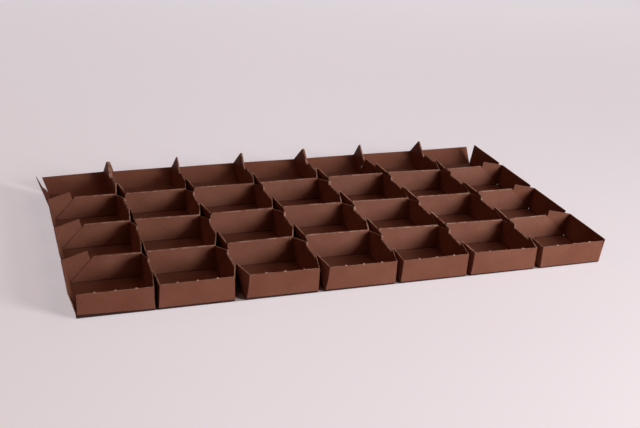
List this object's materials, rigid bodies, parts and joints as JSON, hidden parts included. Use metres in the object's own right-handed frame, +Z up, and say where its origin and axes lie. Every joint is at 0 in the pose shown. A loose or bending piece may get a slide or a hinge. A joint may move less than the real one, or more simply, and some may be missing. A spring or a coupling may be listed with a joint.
{
  "type": "praline insert tray",
  "caption": "Folded card insert tray for a praline box: a die-cut, creased sheet with a grid of open square cells between folded ridges, and outer walls that lean out",
  "frame": {"origin": "middle of the bounding box's bottom face, on the surface that the tray rests on", "axes": "+X right along the rows, +Y from the front wall to the back wall, +Z up"},
  "size_m": [0.2534, 0.156, 0.0162],
  "materials": {
    "brown_card": "matt, dyed dark brown, pale at creases and cut edges"
  },
  "bodies": {
    "root": {"insert_tray": "brown_card"}
  },
  "joints": []
}
